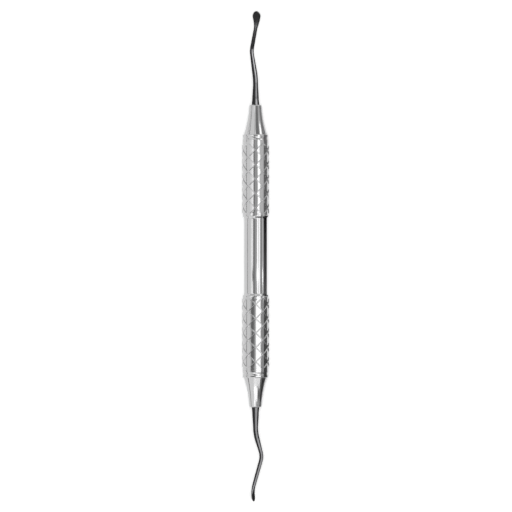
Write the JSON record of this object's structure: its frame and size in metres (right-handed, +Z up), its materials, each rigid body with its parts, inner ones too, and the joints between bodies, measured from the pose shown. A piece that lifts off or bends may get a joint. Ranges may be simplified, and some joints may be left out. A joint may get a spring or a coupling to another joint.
{
  "type": "tunneling knife",
  "caption": "Double-ended surgical knife for soft tissue, with black bent shanks, small spade blades and a hollow steel handle with raised lattice grips and a smooth waist.",
  "frame": {"origin": "on the floor, below the middle of the handle, at the centre of the bottom of the object's box; the knife lies on its side", "axes": "+Y along the handle towards the end whose blade shows its flat face upwards, +Z up, +X across to the right when looking down with +Y ahead"},
  "size_m": [0.0096, 0.1717, 0.0095],
  "materials": {
    "handle_steel": "satin polished stainless steel",
    "cone_steel": "satin polished stainless steel",
    "black_coating": "glossy hard black coating on hardened steel"
  },
  "bodies": {
    "root": {"handle_tube": "handle_steel", "upper_nose_cone": "cone_steel", "lower_nose_cone": "cone_steel", "upper_working_end": "black_coating", "lower_working_end": "black_coating"}
  },
  "joints": []
}
